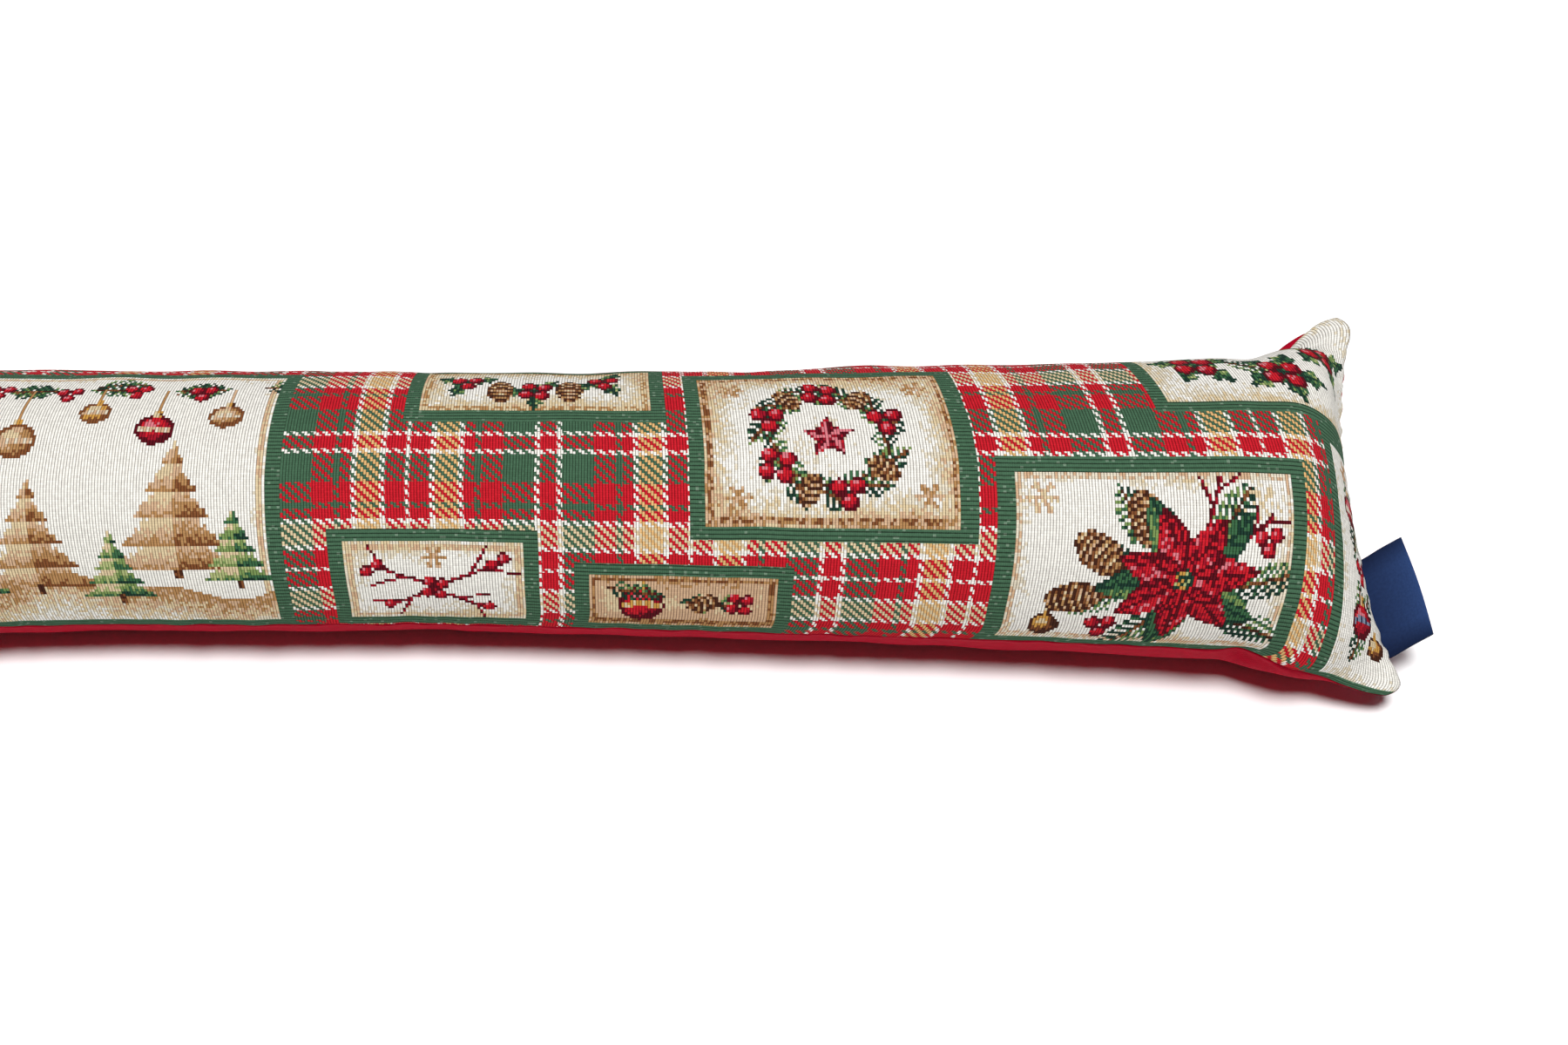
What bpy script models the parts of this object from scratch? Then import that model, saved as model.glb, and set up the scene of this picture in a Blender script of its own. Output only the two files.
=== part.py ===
"""Draught excluder: a long stuffed cushion with a tapestry face, a plain back and a folded label.

Metres, +Z up. The cushion lies on its back along X, its front seam at -Y and its back seam at +Y.
The origin is in the middle of the flat patch on which it rests. The filling makes one body with its
cover, and that body is parted along the seam into the half under each panel.
"""
import math

import bpy
import numpy as np

# Cushion: the seamed size, and the cross-section away from the ends
HALF_LENGTH = 0.445
PANEL_WIDTH = 0.200
HALF_WIDTH = 0.0736
HALF_HEIGHT = 0.0545
SETTLE = 0.006
LEAN = math.radians(14.1)

# Ends: how far the filling takes to round off, and how the seam is drawn in between the corners
END_ROUND = 0.052
CORNER_FLAT = 0.045
CORNER_RADIUS = 0.009
DRAW_IN = 0.0145
DRAW_REACH = 0.13
DRAW_POWER = 2.2
DRAW_SQUARENESS = 2.5

# Corner tips: x, y, z, and the length over which the seam runs out to the tip
CORNERS = {
    "front_right": (0.4535, -0.084, 0.0160, 0.080),
    "back_right": (0.440, 0.090, 0.0905, 0.061),
    "front_left": (-0.449, -0.090, 0.0210, 0.080),
    "back_left": (-0.444, 0.091, 0.0700, 0.075),
}

# Uneven filling: x, reach along x, gain in girth, turn of the seams in degrees, shift in y
SWELLS = (
    (-0.300, 0.090, -0.010, 0.6, -0.0020),
    (-0.140, 0.090, -0.032, 0.9, 0.0040),
    (0.000, 0.090, -0.037, -0.9, 0.0045),
    (0.120, 0.090, -0.021, -0.4, 0.0033),
    (0.240, 0.090, 0.014, -0.5, 0.0025),
    (0.350, 0.070, 0.036, -1.9, -0.0005),
    (0.388, 0.016, 0.000, -4.0, 0.0000),
    (0.405, 0.050, 0.062, 0.0, -0.0010),
)

# Dents in the face: x, share of the panel's width from the front, reach in x, reach in share, depth
DENTS = (
    (0.150, 0.89, 0.020, 0.045, 0.011),
    (0.398, 0.10, 0.016, 0.060, 0.006),
    (-0.395, 0.86, 0.020, 0.080, 0.008),
)

# Cover: thickness at the seam edge, and the gap between the two halves
SEAM_EDGE = 0.0014
PIECE_GAP = 0.0003

# Label: a ribbon folded in half, its place along the right end seam as shares of the panel's width,
# its length out of the seam, its layers, and how far it curls up and leans
LABEL_FROM = 0.112
LABEL_TO = 0.352
LABEL_OUT = 0.0215
LABEL_LAYER = 0.0010
LABEL_SPACE = 0.0005
LABEL_RISE = 0.0020
LABEL_SKEW = 0.25

# Mesh steps, and how much closer they are towards the ends and the seams
COLUMNS = 52
COLUMN_CROWDING = 1.7
ROWS = 18
ROW_CROWDING = 0.6
LABEL_STEPS = 8
FOLD_STEPS = 4
TANGENT_STEP = 0.02
CREASE_ANGLE = math.radians(50.0)


def clear_scene():
    for item in list(bpy.data.objects):
        bpy.data.objects.remove(item, do_unlink=True)


def smooth(share):
    share = np.clip(share, 0.0, 1.0)
    return share * share * (3.0 - 2.0 * share)


def filling_at(x):
    """Girth factor, turn of the seams and shift in y of the filling at x."""
    girth, turn, shift = 1.0, 0.0, 0.0
    for place, reach, gain, degrees, sideways in SWELLS:
        weight = np.exp(-((x - place) / reach) ** 2)
        girth = girth + gain * weight
        turn = turn + math.radians(degrees) * weight
        shift = shift + sideways * weight
    return girth, turn, shift


def section(x, angle):
    """Point (y, z) of the oval cross-section, at an angle from +Y."""
    girth, turn, shift = filling_at(x)
    y = HALF_WIDTH * girth * np.cos(angle + turn) + shift
    z = HALF_HEIGHT * girth * (1.0 + np.sin(angle + turn)) - SETTLE
    return y, z


def nearest_corners(x):
    """Front and back corner of the end that x is nearer to."""
    right = x >= 0.0
    front = [np.where(right, r, l) for r, l in zip(CORNERS["front_right"], CORNERS["front_left"])]
    back = [np.where(right, r, l) for r, l in zip(CORNERS["back_right"], CORNERS["back_left"])]
    return front, back


def seam_surface(x, share):
    """Surface that joins the front seam (share 0) to the back seam (share 1)."""
    front, back = nearest_corners(x)
    inset = np.clip(HALF_LENGTH - np.abs(x), 0.0, None)
    edges = []
    for corner, angle in ((front, math.pi + LEAN), (back, LEAN)):
        y, z = section(x, angle)
        flare = smooth(1.0 - inset / corner[3])
        edges.append((y + (corner[1] - y) * flare, z + (corner[2] - z) * flare))
    y = edges[0][0] + (edges[1][0] - edges[0][0]) * share
    z = edges[0][1] + (edges[1][1] - edges[0][1]) * share
    tip = np.abs(front[0] + (back[0] - front[0]) * share) - HALF_LENGTH
    drawn = DRAW_IN * (1.0 - np.abs(2.0 * share - 1.0) ** DRAW_SQUARENESS)
    pull = np.clip(1.0 - inset / DRAW_REACH, 0.0, 1.0) ** DRAW_POWER
    moved = x + np.sign(x) * (tip - drawn) * pull
    width = np.hypot(edges[1][0] - edges[0][0], edges[1][1] - edges[0][1])
    across = ((edges[1][0] - edges[0][0]) / width, (edges[1][1] - edges[0][1]) / width)
    return moved, y, z, across


def fullness(x, share):
    """How far the filling is out at this place, from 0 on the seam to 1 on the body."""
    inset = np.clip(HALF_LENGTH - np.abs(x), 0.0, None)
    end = np.sqrt(1.0 - np.clip(1.0 - inset / END_ROUND, 0.0, 1.0) ** 2)
    corner = np.hypot(inset, np.minimum(share, 1.0 - share) * PANEL_WIDTH)
    return end * smooth(corner / CORNER_FLAT)


def dents_at(x, share):
    depth = 0.0
    for place, middle, reach, spread, deep in DENTS:
        depth = depth + deep * np.exp(-((x - place) / reach) ** 2 - ((share - middle) / spread) ** 2)
    return depth


def body_bulge(x, share, side):
    """How far the body stands out from the line between its seams: along that line, and off it."""
    front_y, front_z = section(x, math.pi + LEAN)
    back_y, back_z = section(x, LEAN)
    body_y, body_z = section(x, math.pi + LEAN - side * math.pi * share)
    width = np.hypot(back_y - front_y, back_z - front_z)
    across = ((back_y - front_y) / width, (back_z - front_z) / width)
    out_y = body_y - front_y - (back_y - front_y) * share
    out_z = body_z - front_z - (back_z - front_z) * share
    along = out_y * across[0] + out_z * across[1]
    off = (out_z * across[0] - out_y * across[1]) * side
    return along, off


def cover_point(x, share, side):
    """Inner and outer point of one half: side 1 is the face, side -1 the back."""
    moved, y, z, across = seam_surface(x, share)
    normal = (-across[1] * side, across[0] * side)
    inner = (y + normal[0] * PIECE_GAP / 2.0, z + normal[1] * PIECE_GAP / 2.0)
    full = fullness(x, share)
    along, off = body_bulge(x, share, side)
    if side > 0:
        off = off - dents_at(x, share)
    lift = np.hypot(np.clip(off * full, 0.0, None), SEAM_EDGE)
    outer_y = inner[0] + across[0] * along * full + normal[0] * lift
    outer_z = inner[1] + across[1] * along * full + normal[1] * lift
    return moved, inner, (outer_y, np.maximum(outer_z, 0.0))


def rounded_end(share):
    """Half-length of the panel at this share of its width, with its corners rounded."""
    edge = np.minimum(share, 1.0 - share) * PANEL_WIDTH
    miss = np.clip(1.0 - edge / CORNER_RADIUS, 0.0, 1.0)
    return HALF_LENGTH - CORNER_RADIUS * (1.0 - np.sqrt(1.0 - miss ** 2))


def panel_grid():
    """Columns along X, closer at the ends, and rows across, closer at the seams."""
    even = np.linspace(-1.0, 1.0, COLUMNS + 1)
    along = np.sign(even) * (1.0 - (1.0 - np.abs(even)) ** COLUMN_CROWDING)
    step = np.linspace(0.0, 1.0, ROWS + 1)
    share = step - ROW_CROWDING * np.sin(2.0 * math.pi * step) / (2.0 * math.pi)
    share = share[None, :]
    return along[:, None] * rounded_end(share), share


def build_object(name, points, faces, material):
    mesh = bpy.data.meshes.new(name)
    mesh.from_pydata([tuple(float(value) for value in point) for point in points], [], faces)
    mesh.update()
    mesh.materials.append(material)
    mesh.shade_smooth()
    mesh.set_sharp_from_angle(angle=CREASE_ANGLE)
    item = bpy.data.objects.new(name, mesh)
    bpy.context.scene.collection.objects.link(item)
    return item


def make_material(name, colour, roughness):
    material = bpy.data.materials.new(name)
    material.use_nodes = True
    shader = material.node_tree.nodes["Principled BSDF"]
    shader.inputs["Base Color"].default_value = (*colour, 1.0)
    shader.inputs["Roughness"].default_value = roughness
    shader.inputs["Metallic"].default_value = 0.0
    return material


def build_half(name, side, material):
    """One panel with the filling under it, closed by the seam surface."""
    x, share = panel_grid()
    moved, inner, outer = cover_point(x, share, side)
    columns, rows = moved.shape
    layers = []
    for y, z in (outer, inner):
        layers.append(np.stack([moved, y, z], axis=-1).reshape(-1, 3))
    points = np.concatenate(layers)
    below = columns * rows
    faces = []
    for i in range(columns - 1):
        for j in range(rows - 1):
            a, b = i * rows + j, (i + 1) * rows + j
            faces += [(a, b, b + 1), (a, b + 1, a + 1)]
            a, b = below + a, below + b
            faces += [(a, b + 1, b), (a, a + 1, b + 1)]
    rim = [i * rows for i in range(columns)]
    rim += [(columns - 1) * rows + j for j in range(1, rows)]
    rim += [i * rows + rows - 1 for i in range(columns - 2, -1, -1)]
    rim += [j for j in range(rows - 2, 0, -1)]
    for a, b in zip(rim, rim[1:] + rim[:1]):
        faces.append((a, below + a, below + b, b))
    if side < 0:
        faces = [tuple(reversed(face)) for face in faces]
    return build_object(name, points, faces, material)


def label_profile():
    """Outline of the folded ribbon in (out, up), from its root round the fold and back."""
    outer = LABEL_LAYER + LABEL_SPACE / 2.0
    inner = LABEL_SPACE / 2.0
    straight = LABEL_OUT - outer
    profile = [(0.0, -inner), (0.0, -outer)]
    for step in range(FOLD_STEPS + 1):
        turn = -math.pi / 2.0 + math.pi * step / FOLD_STEPS
        profile.append((straight + outer * math.cos(turn), outer * math.sin(turn)))
    profile += [(0.0, outer), (0.0, inner)]
    for step in range(FOLD_STEPS + 1):
        turn = math.pi / 2.0 - math.pi * step / FOLD_STEPS
        profile.append((straight + inner * math.cos(turn), inner * math.sin(turn)))
    return profile


def label_frame(share):
    """Root on the right end seam, the direction off the cloth, and the one straight out of the seam."""
    end = np.array(HALF_LENGTH)
    before, root, after = (seam_surface(end, share + step) for step in (-TANGENT_STEP, 0.0, TANGENT_STEP))
    along = np.array(after[:3]) - np.array(before[:3])
    along /= np.linalg.norm(along)
    outward = np.array((1.0, 0.0, 0.0)) - along[0] * along
    outward = outward / np.linalg.norm(outward) + LABEL_SKEW * along
    outward /= np.linalg.norm(outward)
    normal = np.cross(outward, along)
    return np.array(root[:3]), normal / np.linalg.norm(normal), outward


def build_label(material):
    """The ribbon's section is carried along the right end seam, which it meets edge to edge."""
    profile = label_profile()
    points = []
    for step in range(LABEL_STEPS + 1):
        share = np.array(LABEL_FROM + (LABEL_TO - LABEL_FROM) * step / LABEL_STEPS)
        root, normal, outward = label_frame(share)
        for out, up in profile:
            rise = up + LABEL_RISE * (out / LABEL_OUT) ** 2
            points.append(root + outward * (PIECE_GAP * 2.0 + out) + normal * rise)
    count = len(profile)
    faces = []
    for step in range(LABEL_STEPS):
        for k in range(count):
            a, b = step * count + k, step * count + (k + 1) % count
            faces.append((a, a + count, b + count, b))
    last = LABEL_STEPS * count
    for k in range(1, count // 2):
        end = (k, k + 1, count - k, (count + 1 - k) % count)
        faces.append(end)
        faces.append(tuple(last + index for index in reversed(end)))
    return build_object("label", points, faces, material)


def main():
    clear_scene()
    tapestry = make_material("woven_tapestry", (0.42, 0.30, 0.25), 0.90)
    plain = make_material("plain_red_cloth", (0.52, 0.01, 0.03), 0.70)
    satin = make_material("navy_satin_ribbon", (0.012, 0.03, 0.10), 0.45)
    build_half("tapestry_face", 1, tapestry)
    build_half("plain_back", -1, plain)
    build_label(satin)


main()
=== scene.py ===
import math

import bpy
import numpy as np
from mathutils import Matrix, Vector


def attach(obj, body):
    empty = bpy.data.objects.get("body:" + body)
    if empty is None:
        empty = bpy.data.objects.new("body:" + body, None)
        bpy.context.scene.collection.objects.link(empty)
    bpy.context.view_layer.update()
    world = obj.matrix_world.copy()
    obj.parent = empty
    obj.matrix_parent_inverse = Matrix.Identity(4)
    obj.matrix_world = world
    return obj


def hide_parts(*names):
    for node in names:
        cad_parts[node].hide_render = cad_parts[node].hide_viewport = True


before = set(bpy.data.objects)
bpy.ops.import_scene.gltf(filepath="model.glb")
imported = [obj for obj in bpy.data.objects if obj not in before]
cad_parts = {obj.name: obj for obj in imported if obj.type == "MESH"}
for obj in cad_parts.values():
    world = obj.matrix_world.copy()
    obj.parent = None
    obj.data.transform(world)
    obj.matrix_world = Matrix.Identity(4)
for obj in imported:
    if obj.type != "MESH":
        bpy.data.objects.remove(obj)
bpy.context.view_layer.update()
print("frame loaded:", ", ".join(sorted(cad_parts)))


# Small helpers

def deselectAll():
    for item in bpy.context.selected_objects:
        item.select_set(False)


def makeActive(piece):
    deselectAll()
    piece.select_set(True)
    bpy.context.view_layer.objects.active = piece


def applyModifier(piece, kind, **settings):
    makeActive(piece)
    modifier = piece.modifiers.new(kind.lower(), kind)
    for name, value in settings.items():
        setattr(modifier, name, value)
    bpy.ops.object.modifier_apply(modifier=modifier.name)


def readValues(items, name, width=1, kind=np.float32):  # one property of all items of a mesh
    values = np.empty(len(items) * width, dtype=kind)
    items.foreach_get(name, values)
    return values.reshape(-1, width) if width > 1 else values


def getPoints(piece):
    return readValues(piece.data.vertices, "co", 3).astype(float)


def setPoints(piece, points):
    piece.data.vertices.foreach_set("co", np.asarray(points, dtype=np.float32).ravel())
    piece.data.update()


def newGrid(name, columns, rows):  # flat, from -1 to 1 each way
    deselectAll()
    bpy.ops.mesh.primitive_grid_add(x_subdivisions=columns, y_subdivisions=rows, size=2)
    piece = bpy.context.active_object
    piece.name = name
    piece.data.uv_layers[0].name = "cloth"
    return piece


def smoothShare(share):
    share = np.clip(share, 0.0, 1.0)
    return share * share * (3.0 - 2.0 * share)


def unitVectors(vectors):
    return vectors / np.maximum(np.linalg.norm(vectors, axis=-1, keepdims=True), 1e-9)


def hexColour(text):  # sRGB hex to linear, with alpha
    parts = [int(text[i:i + 2], 16) / 255.0 for i in (1, 3, 5)]
    return [p / 12.92 if p <= 0.04045 else ((p + 0.055) / 1.055) ** 2.4 for p in parts] + [1.0]


def setInputs(tree, node, inputs):  # values, or links from sockets and from nodes' first outputs
    for key, value in inputs.items():
        if isinstance(value, bpy.types.Node):
            value = value.outputs[0]
        if isinstance(value, bpy.types.NodeSocket):
            tree.links.new(value, node.inputs[key])
        else:
            node.inputs[key].default_value = value


def addNode(tree, kind, inputs=None, **settings):  # a node with its settings, values and links
    node = tree.nodes.new("ShaderNode" + kind)
    for name, value in settings.items():
        setattr(node, name, value)
    setInputs(tree, node, inputs or {})
    return node


def newMaterial(name):  # an empty tree with its shader and output
    material = bpy.data.materials.new(name)
    material.use_nodes = True
    tree = material.node_tree
    tree.nodes.clear()
    shader = addNode(tree, "BsdfPrincipled")
    addNode(tree, "OutputMaterial", {"Surface": shader})
    return material, tree, shader


# The cover's shape, in metres: the solids' sizes, with ends up to 5 mm slimmer where the cloth is drawn in

cushion = {
    "cutLength": 0.890,
    "cutWidth": 0.200,
    "halfWidth": 0.0736,
    "halfHeight": 0.0545,
    "settle": 0.006,
    "lean": math.radians(14.1),
    "endRound": 0.070,
    "endPower": 3.0,
    "endFullness": 0.70,
    "cornerFlat": 0.045,
    "cornerRadius": 0.011,
    "drawIn": 0.0145,
    "drawReach": 0.13,
    "drawPower": 2.2,
    "drawSquareness": 2.5,
    "seamEdge": 0.00015,  # half the gap between the panels where they are sewn together
    "labelEdge": 0.0008,  # the same where the label passes between them
    "allowance": 0.0019,  # half the thickness that the turned-in allowance gives even a flat corner
    "allowanceReach": 0.007,
    "labelStart": 0.128,  # shares of the right end seam, from the front corner
    "labelEnd": 0.364,
    "slotMargin": 0.008,  # the slot goes past the label by this much, then closes over the next length
    "slotFade": 0.006,
    "slotReach": 0.020,
    "columns": 174,  # coarse cells, each four stitches wide and deep
    "rows": 34,
    "fineness": 4,
}

halfLength = cushion["cutLength"] / 2.0

corners = {  # tips: x, y, z, and the length over which the seam runs out to the tip
    "frontRight": (0.4535, -0.084, 0.0160, 0.080),
    "backRight": (0.440, 0.090, 0.0905, 0.061),
    "frontLeft": (-0.449, -0.090, 0.0210, 0.080),
    "backLeft": (-0.444, 0.091, 0.0700, 0.075),
}

swells = (  # x, reach along x, gain in girth, turn of the seams in degrees, shift in y
    (-0.300, 0.090, -0.010, 0.6, -0.0020),
    (-0.140, 0.090, -0.032, 0.9, 0.0040),
    (0.000, 0.090, -0.037, -0.9, 0.0045),
    (0.120, 0.090, -0.021, -0.4, 0.0033),
    (0.240, 0.090, 0.014, -0.5, 0.0025),
    (0.350, 0.070, 0.036, -1.9, -0.0005),
    (0.388, 0.016, 0.000, -4.0, 0.0000),
    (0.405, 0.050, 0.062, 0.0, -0.0010),
)

dents = (  # x, share of the width from the front seam, reach in x, reach in share, depth
    (0.150, 0.89, 0.020, 0.045, 0.011),
    (0.398, 0.10, 0.016, 0.060, 0.006),
    (-0.395, 0.86, 0.020, 0.080, 0.008),
)


def fillingAt(x):
    girth, turn, shift = 1.0, 0.0, 0.0
    for place, reach, gain, degrees, sideways in swells:
        weight = np.exp(-((x - place) / reach) ** 2)
        girth = girth + gain * weight
        turn = turn + math.radians(degrees) * weight
        shift = shift + sideways * weight
    return girth, turn, shift


def sectionPoint(x, angle):  # on the oval cross-section, at an angle from +Y
    girth, turn, shift = fillingAt(x)
    y = cushion["halfWidth"] * girth * np.cos(angle + turn) + shift
    z = cushion["halfHeight"] * girth * (1.0 + np.sin(angle + turn)) - cushion["settle"]
    return y, z


def insetAt(x):  # distance from the nearer end
    return np.clip(halfLength - np.abs(x), 0.0, None)


def seamSurface(x, share):  # from the front seam, share 0, to the back seam, share 1
    front = [np.where(x >= 0.0, r, l) for r, l in zip(corners["frontRight"], corners["frontLeft"])]
    back = [np.where(x >= 0.0, r, l) for r, l in zip(corners["backRight"], corners["backLeft"])]
    inset = insetAt(x)
    edges = []
    for corner, angle in ((front, math.pi + cushion["lean"]), (back, cushion["lean"])):
        y, z = sectionPoint(x, angle)
        flare = smoothShare(1.0 - inset / corner[3])
        edges.append((y + (corner[1] - y) * flare, z + (corner[2] - z) * flare))
    y = edges[0][0] + (edges[1][0] - edges[0][0]) * share
    z = edges[0][1] + (edges[1][1] - edges[0][1]) * share
    tip = np.abs(front[0] + (back[0] - front[0]) * share) - halfLength
    drawn = cushion["drawIn"] * (1.0 - np.abs(2.0 * share - 1.0) ** cushion["drawSquareness"])
    pull = np.clip(1.0 - inset / cushion["drawReach"], 0.0, 1.0) ** cushion["drawPower"]
    width = np.hypot(edges[1][0] - edges[0][0], edges[1][1] - edges[0][1])
    across = ((edges[1][0] - edges[0][0]) / width, (edges[1][1] - edges[0][1]) / width)
    return x + np.sign(x) * (tip - drawn) * pull, y, z, across


def fullness(x, share):  # from 0 on the seam to 1 on the body
    inset = insetAt(x)
    missing = np.clip(1.0 - inset / cushion["endRound"], 0.0, 1.0) ** cushion["endPower"]
    end = (1.0 - missing) ** cushion["endFullness"]
    corner = np.hypot(inset, np.minimum(share, 1.0 - share) * cushion["cutWidth"])
    return end * smoothShare(corner / cushion["cornerFlat"])


def dentAt(x, share):
    depth = 0.0
    for place, middle, reach, spread, deep in dents:
        depth = depth + deep * np.exp(-((x - place) / reach) ** 2 - ((share - middle) / spread) ** 2)
    return depth


def seamGapAt(x, share):  # half the gap between the panels: closed, but for the slot of the label
    past = np.maximum(cushion["labelStart"] - share, share - cushion["labelEnd"]) * cushion["cutWidth"]
    atEnd = smoothShare((x - halfLength) / cushion["slotReach"] + 1.5)  # from 30 to 10 mm before the end
    slot = (1.0 - smoothShare((past - cushion["slotMargin"]) / cushion["slotFade"])) * atEnd
    return cushion["seamEdge"] + (cushion["labelEdge"] - cushion["seamEdge"]) * slot


def coverPoint(along, share, side):  # side 1 is the face, -1 the back; along runs from -1 to 1
    edge = np.minimum(share, 1.0 - share) * cushion["cutWidth"]
    miss = np.clip(1.0 - edge / cushion["cornerRadius"], 0.0, 1.0)
    rounding = cushion["cornerRadius"] * (1.0 - np.sqrt(1.0 - miss ** 2))
    x = along * (halfLength - rounding)
    moved, y, z, across = seamSurface(x, share)
    frontY, frontZ = sectionPoint(x, math.pi + cushion["lean"])
    backY, backZ = sectionPoint(x, cushion["lean"])
    bodyY, bodyZ = sectionPoint(x, math.pi + cushion["lean"] - side * math.pi * share)
    width = np.hypot(backY - frontY, backZ - frontZ)
    lineY, lineZ = (backY - frontY) / width, (backZ - frontZ) / width
    outY = bodyY - frontY - (backY - frontY) * share
    outZ = bodyZ - frontZ - (backZ - frontZ) * share
    level = (outY * lineY + outZ * lineZ) * fullness(x, share)
    off = (outZ * lineY - outY * lineZ) * side - (dentAt(x, share) if side > 0 else 0.0)
    thick = cushion["allowance"] * smoothShare(np.minimum(insetAt(x), edge) / cushion["allowanceReach"])
    lift = np.hypot(np.clip(off * fullness(x, share), 0.0, None), seamGapAt(x, share) + thick) * side
    y = y + across[0] * level - across[1] * lift
    z = z + across[1] * level + across[0] * lift
    return np.stack([moved, y, np.maximum(z, 0.0)], axis=-1)


def evenSteps(points, values, axis):  # moves the values so that their points come at even steps
    points, values = np.moveaxis(points, axis, 0), np.moveaxis(values, axis, 0)
    steps = np.linalg.norm(np.diff(points, axis=0), axis=-1)
    run = np.concatenate([np.zeros((1, steps.shape[1])), np.cumsum(steps, axis=0)])
    new = np.empty_like(values)
    for line in range(run.shape[1]):
        wanted = np.linspace(0.0, run[-1, line], run.shape[0])
        new[:, line] = np.interp(wanted, run[:, line], values[:, line])
    return np.moveaxis(new, 0, axis)


def coverGrid(side):  # even in the cloth, so that the weave keeps its scale over the curve
    along = np.linspace(-1.0, 1.0, cushion["columns"] + 1)
    share = np.linspace(0.0, 1.0, cushion["rows"] + 1)
    along, share = np.meshgrid(along, share, indexing="ij")
    for turn in range(4):
        share = evenSteps(coverPoint(along, share, side), share, 1)
        along = evenSteps(coverPoint(along, share, side), along, 0)
    return coverPoint(along, share, side), dentAt(along * halfLength, share)


def gridNumbers(panel):  # the column and row of each point of a fresh grid
    flat = getPoints(panel)
    i = np.rint((flat[:, 0] + 1.0) / 2.0 * cushion["columns"]).astype(int)
    j = np.rint((flat[:, 1] + 1.0) / 2.0 * cushion["rows"]).astype(int)
    return i, j


def makePanel(name, side):  # a flat cut panel, laid round the filling
    panel = newGrid(name, cushion["columns"], cushion["rows"])
    i, j = gridNumbers(panel)
    grid, dent = coverGrid(side)
    setPoints(panel, grid[i, j])
    if side < 0:
        panel.data.flip_normals()
    return panel, i, j, dent[i, j]


face, gridI, gridJ, faceDent = makePanel("tapestryFace", 1)
back, _, _, backDent = makePanel("plainBack", -1)
print("two panels cut and laid round the filling:", 2 * len(gridI), "points")


# The filling swells the cover: one short cloth simulation of the sewn panels

swell = {
    "frames": 20,
    "cloth": {
        "quality": 6,
        "mass": 0.3,
        "tension_stiffness": 15.0,
        "compression_stiffness": 15.0,
        "shear_stiffness": 5.0,
        "bending_stiffness": 0.3,
        "air_damping": 2.0,
        "use_pressure": True,
        "uniform_pressure_force": 4.0,
    },
    "joinWithin": 0.0001,
    "smoothCells": 6,  # broad movement over more cells than this is the solids' own shape, and left out
    "cap": 0.005,  # what is left of a move stays below this
    "seamShare": 0.5,  # the part of it that the sewn edge takes
    "dentDepth": 0.002,  # where a dent is this deep, the cloth takes none of it
}


def sewnCopy():  # both panels as one closed cover, each point keeping its number
    count = len(gridI)
    onSeam = (gridI == 0) | (gridI == cushion["columns"]) | (gridJ == 0) | (gridJ == cushion["rows"])
    shapes = [getPoints(face), getPoints(back)]
    middle = (shapes[0] + shapes[1]) / 2.0
    parts = []
    for panel, points, first in ((face, shapes[0], 0), (back, shapes[1], count)):
        part = panel.copy()
        part.data = panel.data.copy()
        bpy.context.scene.collection.objects.link(part)
        setPoints(part, np.where(onSeam[:, None], middle, points))
        part.data.attributes.new("number", "INT", "POINT").data.foreach_set(
            "value", np.arange(first, first + count, dtype=np.int32))
        parts.append(part)
    makeActive(parts[0])
    parts[1].select_set(True)
    bpy.ops.object.join()
    bpy.ops.object.mode_set(mode="EDIT")
    bpy.ops.mesh.select_all(action="SELECT")
    bpy.ops.mesh.remove_doubles(threshold=swell["joinWithin"])
    bpy.ops.object.mode_set(mode="OBJECT")
    cover = bpy.context.active_object
    return cover, readValues(cover.data.attributes["number"].data, "value", kind=np.int32), onSeam


def cellBlur(field, cells):  # an even average over the neighbouring cells, three times
    for turn in range(3):
        for axis in (0, 1):
            pad = [(0, 0)] * field.ndim
            pad[axis] = (cells, cells)
            wide = np.cumsum(np.pad(field, pad, mode="edge"), axis=axis)
            wide = np.concatenate([np.zeros_like(np.take(wide, [0], axis=axis)), wide], axis=axis)
            size, length = 2 * cells + 1, field.shape[axis]
            upper = np.take(wide, np.arange(size, size + length), axis=axis)
            lower = np.take(wide, np.arange(0, length), axis=axis)
            field = (upper - lower) / size
    return field


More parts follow.
